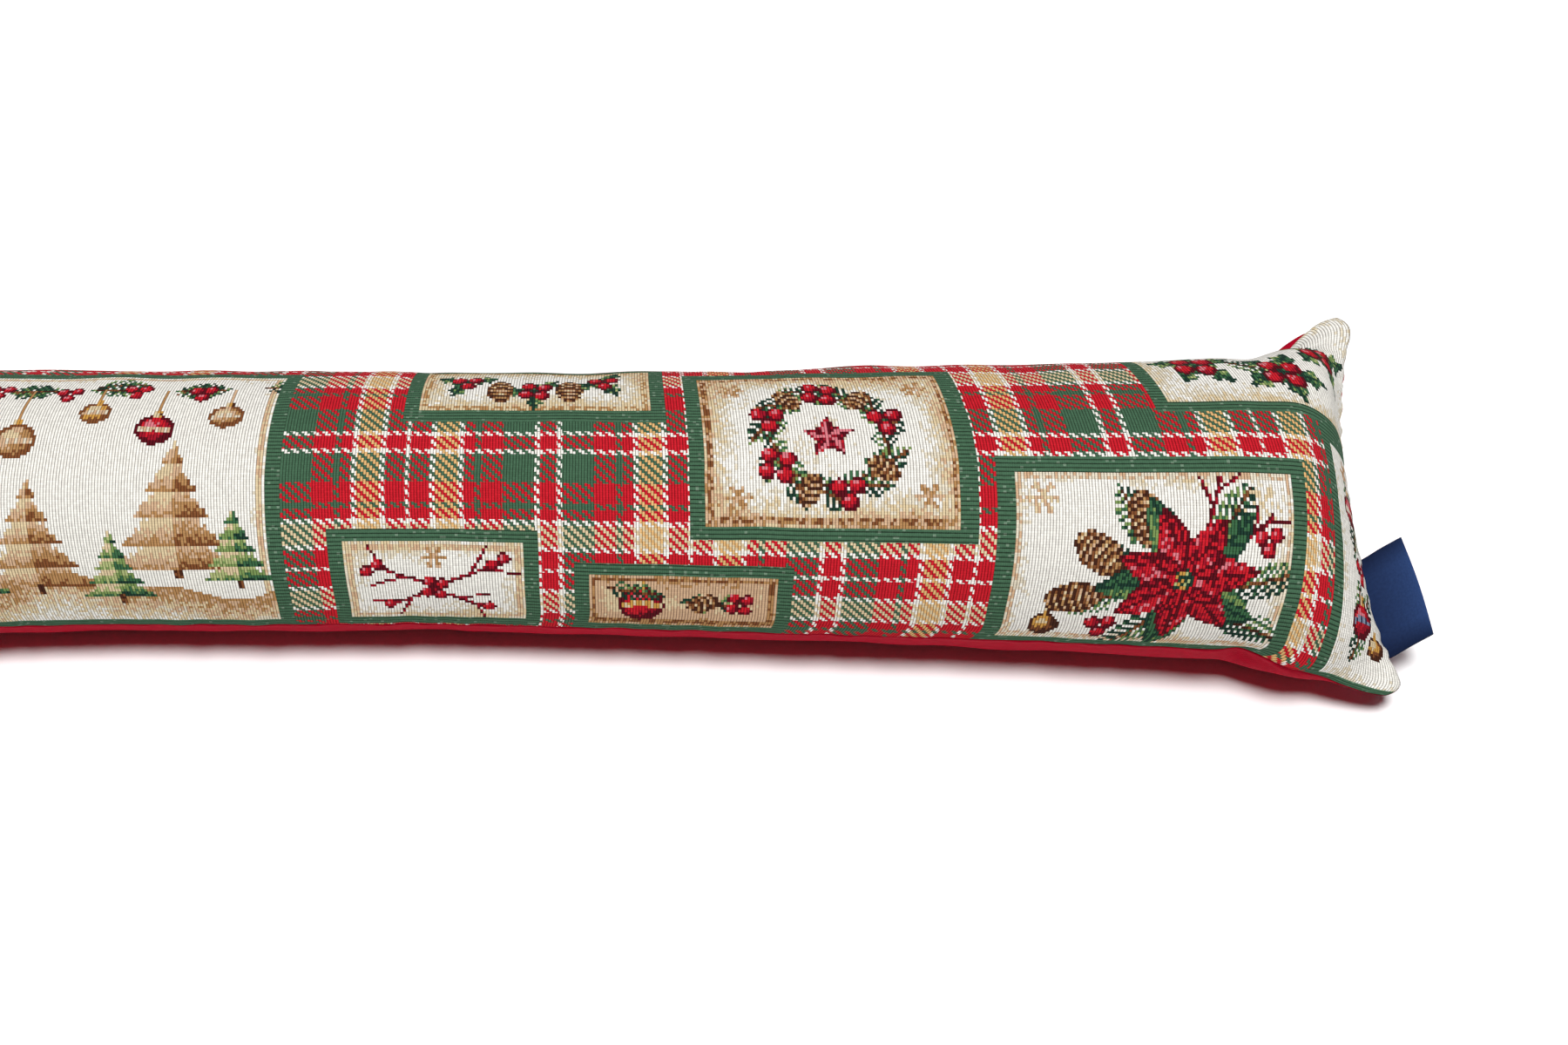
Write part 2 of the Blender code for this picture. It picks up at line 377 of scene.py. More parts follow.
def swellCover():
    cover, numbers, onSeam = sewnCopy()
    count = len(gridI)
    grid = numbers % count
    cover.shape_key_add(name="Basis")
    cut = cover.shape_key_add(name="cut")  # springs at rest are those of the flat cut panels
    flat = np.zeros((len(numbers), 3), dtype=np.float32)
    flat[:, 0] = (gridI[grid] / cushion["columns"] - 0.5) * cushion["cutLength"]
    flat[:, 1] = (gridJ[grid] / cushion["rows"] - 0.5) * cushion["cutWidth"]
    cut.data.foreach_set("co", flat.ravel())
    cloth = cover.modifiers.new("cloth", "CLOTH")
    settings = cloth.settings
    for name, value in swell["cloth"].items():
        setattr(settings, name, value)
    settings.effector_weights.gravity = 0.0
    settings.rest_shape_key = cut
    cloth.point_cache.frame_start = 1
    cloth.point_cache.frame_end = swell["frames"]
    start = getPoints(cover)
    for step in range(1, swell["frames"] + 1):
        bpy.context.scene.frame_set(step)
    solved = cover.evaluated_get(bpy.context.evaluated_depsgraph_get())
    moved = readValues(solved.data.vertices, "co", 3) - start
    bpy.context.scene.frame_set(1)
    bpy.data.objects.remove(cover)

    moves = np.zeros((2 * count, 3))
    moves[numbers] = moved
    known = np.zeros(2 * count, dtype=bool)
    known[numbers] = True
    other = (np.arange(2 * count) + count) % (2 * count)
    moves[~known] = moves[other[~known]]
    field = np.zeros((2, cushion["columns"] + 1, cushion["rows"] + 1, 3))
    field[0, gridI, gridJ] = moves[:count]
    field[1, gridI, gridJ] = moves[count:]
    field = field - np.stack([cellBlur(half, swell["smoothCells"]) for half in field])
    steps = field[:, gridI, gridJ]
    steps = steps / np.sqrt(1.0 + (np.linalg.norm(steps, axis=2, keepdims=True) / swell["cap"]) ** 2)
    steps[:, onSeam] = steps[:, onSeam].mean(axis=0) * swell["seamShare"]
    lengths = [1000.0 * np.linalg.norm(part, axis=-1).max() for part in (moves, steps)]
    print("cover swelled: simulated moves up to %.1f mm, of which at most %.1f mm is kept" % tuple(lengths))
    for panel, dent, step in ((face, faceDent, steps[0]), (back, backDent, steps[1])):
        points = getPoints(panel) + step * np.clip(1.0 - dent / swell["dentDepth"], 0.0, 1.0)[:, None]
        points[:, 2] = np.maximum(points[:, 2], 0.0)
        setPoints(panel, points)


swellCover()


# Fine shape: one face for each stitch, the seam rolled in, puckers and the filling's lumps

detail = {
    "rollDepth": 0.0013,  # how far the seam line sinks between the panels
    "rollReach": 0.0013,
    "rimDepth": 0.006,  # seam allowance turned inside
    "rimCorner": 0.03,  # nearer to a corner than this it gets shorter and turns to the middle
    "rimShare": 0.5,
    "edgeStitches": 3,  # how far in from the border the seam's own direction is taken
    "borderReach": 0.002,
    "lump": 0.0007,
    "lumpFrom": 0.03,  # in full from this far inside the seam
    "lumpLengths": (0.085, 0.060, 0.047, 0.038),
    "pucker": 0.0011,
    "puckerLengths": (0.0135, 0.0100, 0.0077),
    "puckerReach": 0.016,
    "puckerSlant": 0.05,
    "sideLengths": (0.041, 0.027, 0.016),  # the same along the long sides
    "sideReach": 0.010,
    "sideShare": 0.45,
    "sideFrom": 0.02,
    "clear": 0.003,  # puckers leave the seam itself alone
    "seamWave": 0.0005,
    "seamWaveEnds": (0.019, 0.013, 0.009),
    "seamWaveSides": (0.047, 0.031, 0.019),
    "seamWaveReach": 0.006,
    "tipReach": 0.008,  # the corners are evened out over this length
    "tipRounds": 20,
    "tipPlain": 0.022,  # no puckers, ripple or roll nearer to a corner than this
    "foldFrom": 0.004,  # a fold of one panel leaves the seam where it is
}

folds = (  # panel, u, v, reach in u and v, move; lengths in mm. Creases and tucks seen on the real one
    ("face", 594.0, 178.0, 11.0, 11.0, (0.0, -3.0, -4.5)),  # pucker at the top
    ("back", 594.0, 190.0, 16.0, 9.0, (0.0, 3.2, 4.4)),
    ("both", 816.0, 0.0, 6.0, 7.0, (0.0, 0.5, 1.6)),  # tuck in the front seam before the corner
    ("back", 816.0, 9.0, 5.0, 6.0, (0.0, 1.8, 1.8)),
    ("both", 838.0, 5.0, 11.0, 9.0, (0.5, -1.8, -1.6)),
    ("both", 893.0, 14.0, 10.0, 14.0, (1.5, 0.2, 0.3)),  # the front corner
    ("both", 884.0, 203.0, 15.0, 13.0, (1.0, 3.0, 3.0)),  # the rear corner stands up
    ("both", 893.0, 190.0, 8.0, 18.0, (2.2, 0.0, 0.0)),
    ("both", 893.0, 158.0, 9.0, 22.0, (2.0, 0.0, 0.0)),
    ("both", 856.0, 203.0, 12.0, 12.0, (0.6, -1.6, -2.0)),  # the rear seam turns in beside it,
    ("face", 860.0, 184.0, 15.0, 10.0, (0.0, -2.4, -3.2)),
    ("back", 858.0, 189.0, 14.0, 8.0, (-1.5, 5.4, 6.4)),  # and the back bulges past the seam
    ("back", 871.0, 189.0, 8.0, 6.0, (-1.6, 1.9, 1.8)),
)

fineColumns = cushion["columns"] * cushion["fineness"]
fineRows = cushion["rows"] * cushion["fineness"]


def waves(run, lengths, start):  # an uneven ripple between -1 and 1
    total = 0.0
    for n, length in enumerate(lengths):
        total = total + np.sin(2.0 * math.pi * run / length + start * (n + 2.3))
    return total / len(lengths)


def lumpsAt(u, v, start):
    total = np.zeros(np.broadcast(u, v).shape)
    for n, length in enumerate(detail["lumpLengths"]):
        for turn in (0.4, 1.5, 2.5):
            course = u * math.cos(turn + n) + v * math.sin(turn + n)
            total = total + np.sin(2.0 * math.pi * course / length + start + 1.7 * n + 3.1 * turn)
    return total / 6.0


def fineNumbers(panel):  # the stitch column and row of each point, from the panel's own UV map
    mesh = panel.data
    loopPoint = readValues(mesh.loops, "vertex_index", kind=np.int32)
    uv = readValues(mesh.uv_layers["cloth"].data, "uv", 2)
    i = np.zeros(len(mesh.vertices), dtype=int)
    j = np.zeros(len(mesh.vertices), dtype=int)
    i[loopPoint] = np.rint(uv[:, 0] * fineColumns)
    j[loopPoint] = np.rint(uv[:, 1] * fineRows)
    return i, j


def gridNormals(points):
    return unitVectors(np.cross(np.gradient(points, axis=0), np.gradient(points, axis=1)))


def refine(panel):
    applyModifier(panel, "SUBSURF", levels=2, render_levels=2, uv_smooth="NONE",
                  boundary_smooth="PRESERVE_CORNERS")
    i, j = fineNumbers(panel)
    points = np.zeros((fineColumns + 1, fineRows + 1, 3))
    points[i, j] = getPoints(panel)
    return points, i, j


facePoints, faceI, faceJ = refine(face)
backPoints, backI, backJ = refine(back)

alongCloth = np.linspace(0.0, cushion["cutLength"], fineColumns + 1)[:, None]
acrossCloth = np.linspace(0.0, cushion["cutWidth"], fineRows + 1)[None, :]
toEnd = np.minimum(alongCloth, cushion["cutLength"] - alongCloth) + 0.0 * acrossCloth
toSide = np.minimum(acrossCloth, cushion["cutWidth"] - acrossCloth) + 0.0 * alongCloth
toSeam = np.minimum(toEnd, toSide)


def inFromBorder(points, i, j):  # the points at these stitches, or a few in where they are on the border
    deep = detail["edgeStitches"]
    return points[np.clip(i, deep, fineColumns - deep), np.clip(j, deep, fineRows - deep)]


def outwardAtSeam():  # the direction straight out of the seam, known along the border
    i, j = np.ogrid[:fineColumns + 1, :fineRows + 1]
    atBorder = (toSeam < detail["borderReach"])[..., None]
    total = unitVectors(gridNormals(facePoints) - gridNormals(backPoints))
    for points in (facePoints, backPoints):
        total = total + unitVectors(points - inFromBorder(points, i, j)) * atBorder
    return unitVectors(total)


outward = outwardAtSeam()
seamRipple = detail["seamWave"] * np.where(
    toEnd < toSide,
    waves(acrossCloth, detail["seamWaveEnds"], 1.3),
    waves(alongCloth, detail["seamWaveSides"], 0.7),
) * np.exp(-toSeam / detail["seamWaveReach"])


def softenTips(points):  # the layers are bulky in a corner, so it ends round
    near = np.exp(-(np.hypot(toEnd, toSide) / detail["tipReach"]) ** 2)[..., None]
    for turn in range(detail["tipRounds"]):
        wide = np.pad(points, ((1, 1), (1, 1), (0, 0)), mode="edge")
        mean = (wide[:-2, 1:-1] + wide[2:, 1:-1] + wide[1:-1, :-2] + wide[1:-1, 2:]) / 4.0
        points = points + near * (mean - points)
    return points


def finishShape(panel, points, side, start, i, j):
    normals = gridNormals(points) * side
    body = smoothShare(toSeam / detail["lumpFrom"])
    plain = smoothShare(np.hypot(toEnd, toSide) / detail["tipPlain"])[..., None]
    lumps = lumpsAt(alongCloth, acrossCloth, start) * detail["lump"] * body
    near = np.exp(-toEnd / detail["puckerReach"]) * smoothShare(toEnd / detail["clear"])
    ends = waves(acrossCloth + detail["puckerSlant"] * toEnd, detail["puckerLengths"], start) * near
    near = np.exp(-toSide / detail["sideReach"]) * smoothShare(toSide / detail["clear"])
    near = near * smoothShare(toEnd / detail["sideFrom"])
    sides = waves(alongCloth, detail["sideLengths"], start + 2.0) * near * detail["sideShare"]
    points = points + normals * (lumps + detail["pucker"] * (ends + sides))[..., None] * plain
    roll = detail["rollDepth"] * np.exp(-(toSeam / detail["rollReach"]) ** 2)
    points = points + outward * (seamRipple - roll)[..., None] * plain
    for which, u, v, wide, deep, move in folds:
        if which in ("both", "face" if side > 0 else "back"):
            s, t = (alongCloth * 1000.0 - u) / wide, (acrossCloth * 1000.0 - v) / deep
            weight = np.exp(-s ** 2 - t ** 2)
            if which != "both":
                weight = weight * smoothShare(toSeam / detail["foldFrom"]) * plain[..., 0]
            points = points + weight[..., None] * np.array(move) / 1000.0
    points = softenTips(points)
    points[..., 2] = np.maximum(points[..., 2], 0.0)
    setPoints(panel, points[i, j])
    return points


def turnInRim(panel, points):  # the allowances run inward side by side
    count = len(panel.data.vertices)
    makeActive(panel)
    bpy.ops.object.mode_set(mode="EDIT")
    bpy.ops.mesh.select_mode(type="EDGE")
    bpy.ops.mesh.select_all(action="DESELECT")
    bpy.ops.mesh.select_non_manifold()
    bpy.ops.mesh.extrude_edges_move()
    bpy.ops.object.mode_set(mode="OBJECT")
    i, j = fineNumbers(panel)
    i, j = i[count:], j[count:]
    middle = (facePoints + backPoints) / 2.0
    inner = (inFromBorder(middle, i, j) - middle[i, j]) * detail["rimShare"]
    away = smoothShare(np.maximum(toEnd, toSide)[i, j] / detail["rimCorner"])[:, None]
    ended = getPoints(panel)
    ended[count:] = points[i, j] - outward[i, j] * detail["rimDepth"] * away + inner * (1.0 - away)
    setPoints(panel, ended)
    bpy.ops.object.shade_smooth()


facePoints = finishShape(face, facePoints, 1, 0.9, faceI, faceJ)
backPoints = finishShape(back, backPoints, -1, 2.6, backI, backJ)
turnInRim(face, facePoints)
turnInRim(back, backPoints)
print("cover refined:", len(face.data.polygons) + len(back.data.polygons), "faces")


# The woven pattern: one yarn colour a stitch. u runs along the panel, v from the front seam, in mm.
# Every motif is drawn here from plain rules for leaves, petals, cones and stars.

yarns = {
    "white": "#FDFAF2", "ivory": "#EADFC8", "cream": "#E6D0A8", "beige": "#D9B491", "tan": "#B98B5A",
    "gold": "#D69F4E", "apricot": "#E9BA7C", "brown": "#83502F", "umber": "#49281C", "red": "#D0202E",
    "crimson": "#A3162A", "wine": "#5E101C", "pink": "#E2808A", "pine": "#1F3D31", "green": "#3E6B48",
    "moss": "#7F9A5A", "lime": "#B4BE80", "band": "#486B52", "navy": "#27324F", "slate": "#8C97AE",
    "ink": "#1E1B1C",
}

weave = {
    "bandAlong": 6.6,  # green frame of each patch: its upright and its level sides
    "bandAcross": 6.3,
    "seed": 11,
    "clothLength": 1000.0 * cushion["cutLength"],
    "clothWidth": 1000.0 * cushion["cutWidth"],
}

yarnColours = {name: np.array(hexColour(text)[:3]) for name, text in yarns.items()}
stitchU = (np.arange(fineColumns) + 0.5) * weave["clothLength"] / fineColumns
stitchV = (np.arange(fineRows) + 0.5) * weave["clothWidth"] / fineRows
grain = np.random.default_rng(weave["seed"]).random((fineColumns, fineRows))
stitches = np.tile(yarnColours["red"], (fineColumns, fineRows, 1))
isTartan = np.ones((fineColumns, fineRows), dtype=bool)
isBand = np.zeros((fineColumns, fineRows), dtype=bool)
openArea = np.zeros((fineColumns, fineRows), dtype=bool)  # the patch being drawn


def window(u, v, reach):
    i = slice(*np.searchsorted(stitchU, (u - reach, u + reach)))
    j = slice(*np.searchsorted(stitchV, (v - reach, v + reach)))
    return i, j, stitchU[i, None] - u, stitchV[None, j] - v


def turned(du, dv, degrees):
    c, s = math.cos(math.radians(degrees)), math.sin(math.radians(degrees))
    return du * c + dv * s, dv * c - du * s


def around(u, v, far, degrees):  # the point this far from u, v
    return u + far * math.cos(math.radians(degrees)), v + far * math.sin(math.radians(degrees))


def fill(i, j, inside, tone, names, blend=0.30):  # tone 0 to 1 picks from the yarns, mixed by stitch
    names = names.split()
    colours = np.array([yarnColours[name] for name in names])
    mixed = tone + (grain[i, j] - 0.5) * blend
    place = np.clip(mixed * len(names), 0, len(names) - 1).astype(int)
    inside = inside & openArea[i, j]
    stitches[i, j] = np.where(inside[..., None], colours[place], stitches[i, j])


def scatter(draw, spots, *rest):  # a motif at several spots: what differs, then what they share
    for spot in spots:
        draw(*spot, *rest)


def disc(u, v, radius, names):
    i, j, du, dv = window(u, v, radius + 2)
    far = np.hypot(du, dv) / radius
    light = np.hypot(du + 0.3 * radius, dv - 0.35 * radius) / radius
    fill(i, j, far < 1, np.where(far > 0.80, 0, 1 - 0.75 * light), names)


def stroke(points, width, names, tone=0.5):  # a line through the points
    for (au, av), (bu, bv) in zip(points[:-1], points[1:]):
        length = max(math.hypot(bu - au, bv - av), 0.01)
        i, j, du, dv = window((au + bu) / 2, (av + bv) / 2, length / 2 + width + 1)
        s, t = turned(du, dv, math.degrees(math.atan2(bv - av, bu - au)))
        inside = (np.abs(s) < length / 2 + width * 0.3) & (np.abs(t) < width / 2)
        fill(i, j, inside, tone + 0.3 * np.sign(t), names)


def leaf(u, v, degrees, length, width, names, spines=0, point=0.75):
    veins = 3.4  # mm from one to the next
    i, j, du, dv = window(u, v, length + 2)
    s, t = turned(du, dv, degrees)
    q = np.clip(s / length, 0, 1)
    half = width / 2 * np.sin(math.pi * q ** 0.85) ** point
    if spines:
        half = half * (0.52 + 0.62 * np.abs(np.cos(spines * math.pi * q)) ** 1.5)
    inside = (s > 0) & (s < length) & (np.abs(t) < half)
    tone = 0.62 + 0.34 * t / (width / 2)
    tone = tone - 0.45 * (np.mod(s - 1.1 * np.abs(t), veins) < 0.30 * veins) * (np.abs(t) > 0.8)
    tone = np.where(np.abs(t) > half - 1, tone - 0.40, tone)
    fill(i, j, inside, np.where(np.abs(t) < 0.65, 0, tone), names)


def holly(u, v, degrees, length):
    leaf(u, v, degrees, length, length * 0.56, "pine green green moss lime", spines=3)


def berries(u, v, radius, count=3):
    away = radius * (1.02 / math.sin(math.pi / count) * 0.98 if count > 1 else 0)
    for n in range(count):
        turn = 2 * math.pi * n / count + 0.6
        disc(u + away * math.cos(turn), v + away * math.sin(turn), radius, "wine crimson red red pink")


def poinsettia(u, v, radius, turn):
    petal = "wine crimson red red pink"
    for n in range(5):
        leaf(u, v, turn + 36 + 72 * n, radius * 1.18, radius * 0.52, "pine green green moss")
    for n in range(7):
        leaf(u, v, turn + 51.4 * n, radius * (1 - 0.06 * (n % 2)), radius * 0.46, petal, point=0.9)
    for n in range(6):
        leaf(u, v, turn + 25 + 60 * n, radius * 0.62, radius * 0.32, petal, point=0.9)
    for n in range(6):
        disc(*around(u, v, 0.09 * radius * (n > 0), 72 * n), max(radius * 0.055, 1.3), "pine gold lime")


def firTwig(u, v, degrees, length, width):
    i, j, du, dv = window(u, v, length + 2)
    s, t = turned(du, dv, degrees)
    half = width / 2 * np.clip(np.minimum(s / 7 + 0.35, (length - s) / 9), 0, 1)
    comb = np.mod(s - 0.95 * np.abs(t), 3.3)
    inside = (s > 0) & (s < length) & (np.abs(t) < half) & (comb < 2)
    fill(i, j, inside, 0.75 - 0.5 * comb / 2 + 0.2 * np.sign(t), "pine pine green moss")
    fill(i, j, (s > -1.5) & (s < length - 3) & (np.abs(t) < 0.7), 0.5, "umber brown")


def cone(u, v, degrees, length, width):
    i, j, du, dv = window(u, v, length / 2 + 3)
    s, t = turned(du, dv, degrees)
    across = t / (width / 2) / np.sqrt(np.clip(1 - (s / (length / 2)) ** 2, 0.01, 1))
    inside = (np.abs(s) < length / 2) & (np.abs(across) < 1)
    row = (s + 1.6 * across ** 2) / 3.3
    side = np.mod(np.arcsin(np.clip(across, -1, 1)) * width / 7.2 + 0.5 * np.floor(row), 1)
    tone = 0.95 - 0.85 * np.mod(row, 1) - 0.9 * np.clip(np.abs(side - 0.5) - 0.30, 0, 1)
    fill(i, j, inside, tone - 0.2 * np.abs(across), "umber umber brown tan beige cream")


def bauble(u, v, radius, names, stripe=""):
    disc(u, v, radius, names)
    i, j, du, dv = window(u, v, radius + 6)
    if stripe:
        bow = dv - 0.16 * radius * (1 - (du / radius) ** 2) + 0.1 * radius
        inside = (np.hypot(du, dv) < radius - 1.2) & (np.abs(bow) < radius * 0.16)
        fill(i, j, inside, 0.5 + 0.5 * np.sin(du * 1.7), stripe)
    cap = (np.abs(du) < radius * 0.22) & (np.abs(dv - radius - 0.8) < 1.7)
    fill(i, j, cap, 0.6 - 0.2 * du, "umber gold cream")


def star(u, v, radius, names="brown gold gold cream", turn=90):
    waist = 0.5
    i, j, du, dv = window(u, v, radius + 1)
    angle = np.mod(np.degrees(np.arctan2(dv, du)) - turn + 36, 72) - 36
    rest = np.radians(36 - np.abs(angle))
    edge = waist * math.sin(math.radians(36)) / (
        np.sin(np.radians(np.abs(angle))) + waist * np.sin(rest) + 1e-6)
    far = np.hypot(du, dv) / radius
    tone = 0.55 + 0.35 * np.sign(angle) - 0.5 * (far > edge - 0.13)
    fill(i, j, far < edge, tone, names)


def snowflake(u, v, radius, names="tan beige"):
    i, j, du, dv = window(u, v, radius + 1)
    angle = np.radians(np.mod(np.degrees(np.arctan2(dv, du)) + 30, 60) - 30)
    far = np.hypot(du, dv)
    a, b = far * np.cos(angle), np.abs(far * np.sin(angle))
    inside = b < 0.66
    for place, reach in ((0.38, 0.20), (0.66, 0.24)):
        inside = inside | ((np.abs(a - b * 0.75 - place * radius) < 0.62) & (b < reach * radius))
    fill(i, j, inside & (far < radius), 0.5, names, blend=0.9)


def twig(u, v, degrees, length, names, bend=7, depth=1):  # bare and forking
    points = [(u, v)]
    for n in range(4):
        degrees = degrees + bend * (1 if n % 2 else -0.6)
        u, v = around(u, v, length / 4, degrees)
        points.append((u, v))
        if depth > 0 and n in (1, 2):
            twig(u, v, degrees + (38 if n == 1 else -34), length * 0.52, names, -bend, depth - 1)
    stroke(points, 1.3 + 0.5 * depth, names, 0.55)


def firTree(u, v, height, names):
    i, j, du, dv = window(u, v + height / 2, height)
    rise = np.clip((dv + height / 2) / height, 0, 1)
    tier = np.mod(rise * 5, 1)
    ragged = 1 + 0.12 * np.sign(np.sin(du * 1.9)) * tier
    half = 0.42 * height * (1 - rise) * (1.12 - 0.42 * tier) * ragged
    inside = (dv > -height / 2) & (rise < 1) & (np.abs(du) < half)
    fill(i, j, inside, 0.25 + 0.6 * tier - 0.15 * np.sign(du), names)
    fill(i, j, (np.abs(du) < 1.4) & (np.abs(dv + height / 2 + 2) < 2.4), 0.5, "umber brown")


def snowHills(low, high, rise):
    i, j, du, dv = window(0, 0, 1000)
    top = rise + 6 * np.sin(du / 21) + 3 * np.sin(du / 9 + 1)
    inside = (du > low) & (du < high) & (dv < top)
    fill(i, j, inside, np.clip((top - dv) / 26, 0, 1) * 0.9, "tan beige cream ivory white", blend=0.5)


def patch(low, high, front, rear, ground, edge):
    wide, deep = weave["bandAlong"], weave["bandAcross"]
    u, v = stitchU[:, None], stitchV[None, :]
    outer = (u > low - wide) & (u < high + wide) & (v > front - deep) & (v < rear + deep)
    openArea[:] = (u > low) & (u < high) & (v > front) & (v < rear)
    isTartan[outer] = False
    isBand[outer & ~openArea] = True
    stitches[outer & ~openArea] = yarnColours["band"]
    inset = np.minimum(np.minimum(u - low, high - u), np.minimum(v - front, rear - v))
    cloudy = 0.12 * np.sin(u / 13 + front) * np.sin(v / 11 + low) + 0.06 * np.sin(u / 4.1 + v / 5.3)
    tone = np.clip(inset / 22, 0, 0.75) + cloudy + 0.25
    fill(slice(None), slice(None), openArea, tone, ground, blend=0.42)
    if edge:
        line = openArea & (inset < 3.4) & (inset > 1.2)
        fill(slice(None), slice(None), line, 0.5, edge, blend=1.2)


def drawHollyPatch():  # hidden end, rear
    patch(24, 196, 80, 146, "beige cream ivory white", "tan beige cream")
    for n, u in enumerate((54, 110, 166)):
        v = 113 + 5 * (-1) ** n
        for turn, length in ((18, 23), (95, 19), (165, 24), (228, 18), (305, 19)):
            holly(u, v, turn + 11 * n, length)
        berries(u, v, 3.5)
        if n:
            snowflake(u - 28, v + 17 * (-1) ** n, 7)


def drawStarPatch():  # hidden end, front
    patch(42, 184, 10, 54, "ivory white white white", "beige cream")
    for n, u in enumerate((62, 96, 130, 164)):
        star(u, 32 + 5 * (-1) ** n, 11 if n % 2 else 8, turn=90 + 9 * n)
        snowflake(u + 17, 32 - 6 * (-1) ** n, 5.5)


def drawForestPatch():
    patch(222, 386, 8, 147, "ivory white white white", "beige cream")
    snowHills(222, 386, 30)
    tans, greens = "brown tan beige cream", "pine green moss lime cream"
    reds, golds = "wine crimson red pink", "brown gold gold cream"
    scatter(firTree, ((236, 40, 44, tans), (346, 38, 62, tans), (372, 32, 36, greens), (258, 26, 30, greens),
                      (284, 30, 52, tans), (318, 24, 34, greens)))
    for n in range(9):  # a swag of fir across the top, with baubles on threads
        firTwig(228 + 19 * n, 136 - 5 * math.sin(math.pi * n / 4) ** 2, 8 + 172 * (n % 2), 23, 12)
    for u, drop, radius, names in ((244, 20, 7.5, reds), (276, 33, 9, tans), (308, 17, 7, golds),
                                   (336, 27, 8.5, reds), (366, 19, 7.5, tans)):
        stroke([(u, 134), (u, 134 - drop + radius)], 1.4, "tan beige")
        bauble(u, 133 - drop, radius, names, "beige ivory")
    scatter(berries, ((260, 133), (292, 130), (322, 133), (352, 131)), 3.2)


def drawSprigPatch():
    patch(418, 496, 9, 51, "cream ivory white white", "beige cream")
    for turn, length, bend in ((158, 30, 9), (24, 32, -9), (-28, 25, 8), (208, 24, -8)):
        twig(457, 28, turn, length, "wine crimson", bend)
    scatter(berries, ((457, 28, 3, 4), (430, 38, 3, 2), (485, 42, 3, 2), (436, 18, 3, 1), (480, 17, 3, 1)))
    snowflake(457, 43.5, 5.5)


def drawHollyStrip():
    patch(450, 552, 117, 158, "beige cream ivory white", "tan cream")
    for n, (u, v) in enumerate(((470, 141), (501, 133), (532, 142))):
        for turn in (20, 160, 245):
            holly(u, v, turn + 24 * n, 15)
        berries(u, v, 3.6, 3 + n % 2)
    scatter(cone, ((485.5, 133), (516.5, 133)), 90, 19, 12)


def drawWreathPatch():
    patch(574, 682, 61, 144, "tan beige cream ivory white", "brown tan beige")
    u, v = 628, 102
    for n in range(22):  # a ring of fir, the twigs leaning in and out by turns
        turn = 360 * n / 22
        firTwig(*around(u, v, 26, turn), turn + 90 + (26 if n % 2 else -24), 16, 11)
    for turn, count in ((20, 3), (92, 4), (158, 3), (212, 4), (285, 3)):
        berries(*around(u, v, 27, turn), 3.9, count)
    for turn in (56, 125, 250, 325):
        cone(*around(u, v, 27, turn), turn, 15, 10)
    star(u, v, 12, "wine crimson red pink")
    scatter(snowflake, ((588, 132), (669, 131), (588, 73), (669, 74)), 6)


def drawBaublePatch():
    patch(524, 606, 8, 36.5, "tan beige beige cream", "brown tan")
    bauble(547, 21, 10, "wine crimson red red pink", "gold cream")
    scatter(firTwig, ((533, 30, -10, 26, 9), (580, 21, 8, 17, 11), (580, 21, 172, 17, 11)))
    cone(574, 22, 20, 15, 10)
    berries(590, 22, 3, 4)


def drawFlowerPatch():
    patch(704, 820, 8, 86, "cream ivory white white white", "beige ivory")
    snowflake(806, 72, 9, "cream ivory")
    snowflake(716, 74, 7, "beige cream")
    scatter(firTwig, ((752, 46, 152), (750, 34, 192), (760, 56, 118), (788, 58, 58), (796, 26, -22),
                      (766, 24, 236), (798, 40, 12)), 28, 14)
    scatter(cone, ((740, 52, 145), (732, 32, 188), (759, 66, 105)), 24, 15)
    scatter(twig, ((782, 60, 72, 24), (794, 54, 40, 22)), "crimson wine")
    poinsettia(776, 42, 31, 8)
    scatter(berries, ((746, 18, 3.4), (809, 58, 3.2)))
    bauble(722, 17, 6.5, "umber brown gold cream")


def drawEndPatch():
    patch(849, 893, 7, 109.5, "ivory white white white", "")
    scatter(firTwig, ((866, 34, 100), (866, 34, 60), (866, 34, 255), (867, 80, 112), (867, 80, 250),
                      (867, 80, 66)), 20, 11)
    bauble(866, 36, 8, "wine crimson red pink", "navy slate")
    bauble(877, 26, 5.5, "umber brown gold cream")
    bauble(864, 84, 7.5, "wine crimson red pink", "ivory white")
    bauble(876, 72, 5.5, "ink navy slate white")
    berries(868, 58, 3.2)
    scatter(snowflake, ((862, 101), (881, 94)), 5)


def drawCornerPatch():
    patch(778, 893, 122, 203, "cream ivory white white", "")
    for u, v, start, size in ((800, 150, 20, 20), (837, 142, 64, 21), (866, 166, 8, 22)):
        firTwig(u, v, start + 95, size * 1.3, 12)
        for n in range(5):
            holly(u, v, start + 72 * n, size * (1 - 0.12 * (n % 2)))
        berries(u, v, 4.6, 4)
    scatter(berries, ((818, 172), (848, 185)), 4)
    snowflake(800, 184, 7)


for drawPatch in (drawHollyPatch, drawStarPatch, drawForestPatch, drawSprigPatch, drawHollyStrip,
                  drawWreathPatch, drawBaublePatch, drawFlowerPatch, drawEndPatch, drawCornerPatch):
    drawPatch()
for low, high, front, rear in ((0, 402, 0, 4.5), (0, 8, 0, 200), (0, 770, 195, 200)):  # along the seams
    strip = (stitchU[:, None] > low) & (stitchU[:, None] < high) & (stitchV > front) & (stitchV < rear)
    strip = strip & isTartan
    isTartan[strip], isBand[strip] = False, True
    stitches[strip] = yarnColours["band"]
print("pattern charted:", fineColumns, "by", fineRows, "stitches")


# Materials

